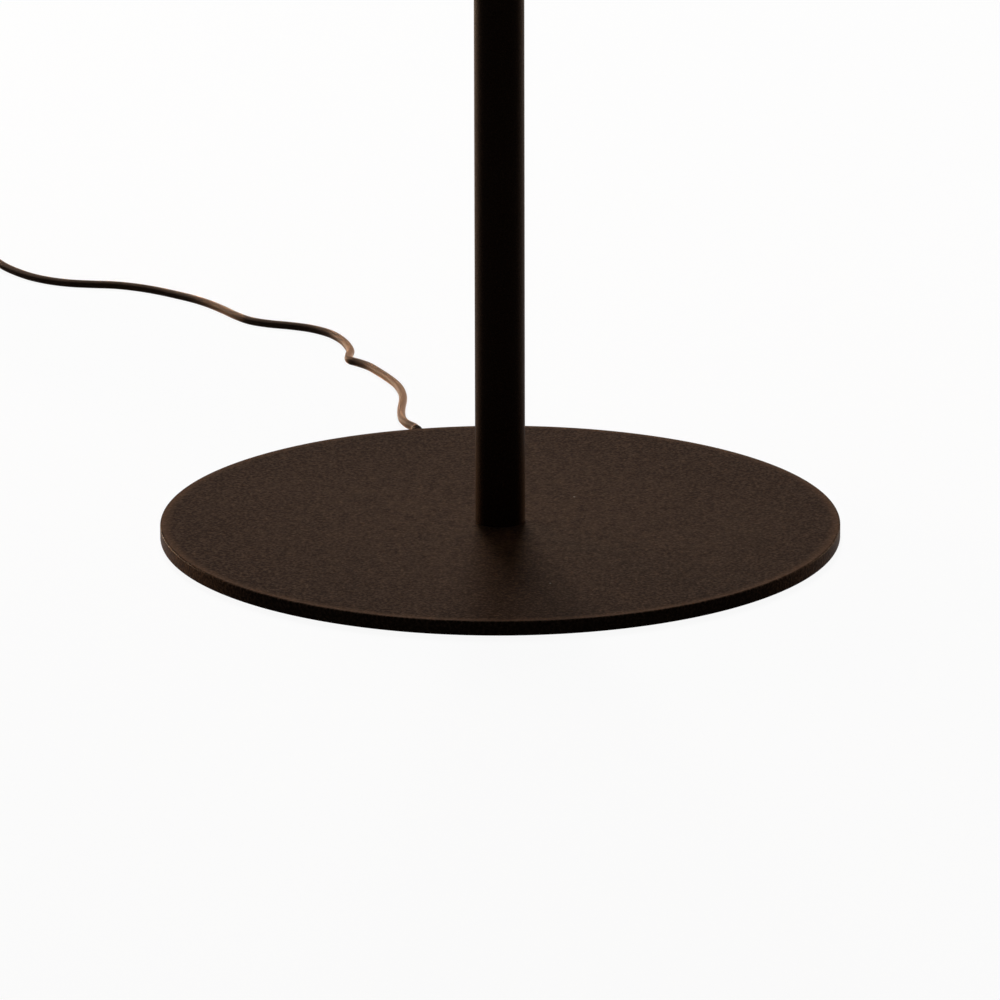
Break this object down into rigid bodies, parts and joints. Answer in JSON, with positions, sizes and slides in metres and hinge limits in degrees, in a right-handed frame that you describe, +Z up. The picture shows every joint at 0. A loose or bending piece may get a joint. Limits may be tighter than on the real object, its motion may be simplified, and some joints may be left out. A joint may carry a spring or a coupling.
{
  "type": "floor lamp",
  "caption": "Floor lamp with a flat round base plate, straight pole, folding swing arm, tilting cone-shaded LED head, rotary dimmer and a thin low-voltage cord.",
  "frame": {"origin": "on the floor under the middle of the pole, at the underside of the base pad", "axes": "+Z up along the pole, +X along the swing arm at rest, +Y behind the lamp as pictured"},
  "size_m": [0.866, 0.6307, 1.3083],
  "materials": {
    "bronze_coat": "satin",
    "bronze_sink": "satin",
    "plain_steel": "satin",
    "soft_pad": "matte",
    "dark_nylon": "matte",
    "pale_nylon": "satin",
    "brown_sheath": "satin",
    "white_sheath": "satin",
    "grey_plastic": "matte",
    "bare_aluminium": "satin",
    "white_board": "satin",
    "light_chip": "satin",
    "opal_plastic": "satin",
    "white_ring": "satin",
    "plug_nickel": "polished"
  },
  "bodies": {
    "stand": {"base_plate": "bronze_coat", "base_pad": "soft_pad", "base_stud": "plain_steel", "pole_insert": "plain_steel", "lower_tube": "bronze_coat", "tube_coupler": "plain_steel", "upper_tube": "bronze_coat", "swivel_bush": "dark_nylon", "pole_cable": "brown_sheath", "cord_relief": "dark_nylon", "cord_floor": "brown_sheath", "cord_coil": "brown_sheath", "cord_tie": "dark_nylon", "adapter_relief": "dark_nylon", "adapter_case": "dark_nylon", "adapter_front": "dark_nylon", "adapter_pins": "plug_nickel"},
    "inner_arm": {"swivel_hub": "bronze_coat", "dimmer_case": "grey_plastic", "inner_tube": "bronze_coat", "inner_cable": "brown_sheath", "elbow_lower": "bronze_coat", "elbow_washer": "pale_nylon", "elbow_nut": "bronze_coat"},
    "dimmer": {"dimmer_spindle": "plain_steel", "dimmer_knob": "bronze_coat"},
    "outer_arm": {"elbow_upper": "bronze_coat", "outer_tube": "bronze_coat", "outer_cable": "brown_sheath", "tilt_fork": "bronze_coat", "tilt_nut": "bronze_coat"},
    "elbow_clamp": {"elbow_bolt": "plain_steel", "elbow_knob": "bronze_coat"},
    "tilt_clamp": {"tilt_pin": "plain_steel", "tilt_knob": "bronze_coat"},
    "head": {"tilt_washers": "pale_nylon", "head_stem": "bronze_coat", "head_cable": "white_sheath", "heat_sink": "bronze_sink", "head_screws": "plain_steel", "shade": "bronze_coat", "led_carrier": "bare_aluminium", "led_board": "white_board", "led_chips": "light_chip", "diffuser": "opal_plastic", "diffuser_ring": "white_ring"}
  },
  "joints": [
    {"name": "arm_swing", "type": "hinge", "parent": "stand", "child": "inner_arm", "pos_m": [0, 0, 1.2509], "axis": [0, 0, 1], "range_deg": [-170, 170]},
    {"name": "dimmer_turn", "type": "hinge", "parent": "inner_arm", "child": "dimmer", "pos_m": [0, 0, 1.2869], "axis": [0, 0, -1], "range_deg": [0, 270]},
    {"name": "elbow_swing", "type": "hinge", "parent": "inner_arm", "child": "outer_arm", "pos_m": [0.22, 0, 1.2761], "axis": [0, 0, 1], "range_deg": [-140, 140]},
    {"name": "elbow_knob_turn", "type": "hinge", "parent": "inner_arm", "child": "elbow_clamp", "pos_m": [0.22, 0, 1.2761], "axis": [0, 0, 1], "continuous": true},
    {"name": "head_tilt", "type": "hinge", "parent": "outer_arm", "child": "head", "pos_m": [0.45, 0, 1.2861], "axis": [0, -1, 0], "range_deg": [-30, 90]},
    {"name": "tilt_knob_turn", "type": "hinge", "parent": "outer_arm", "child": "tilt_clamp", "pos_m": [0.45, 0, 1.2861], "axis": [0, 1, 0], "continuous": true}
  ]
}
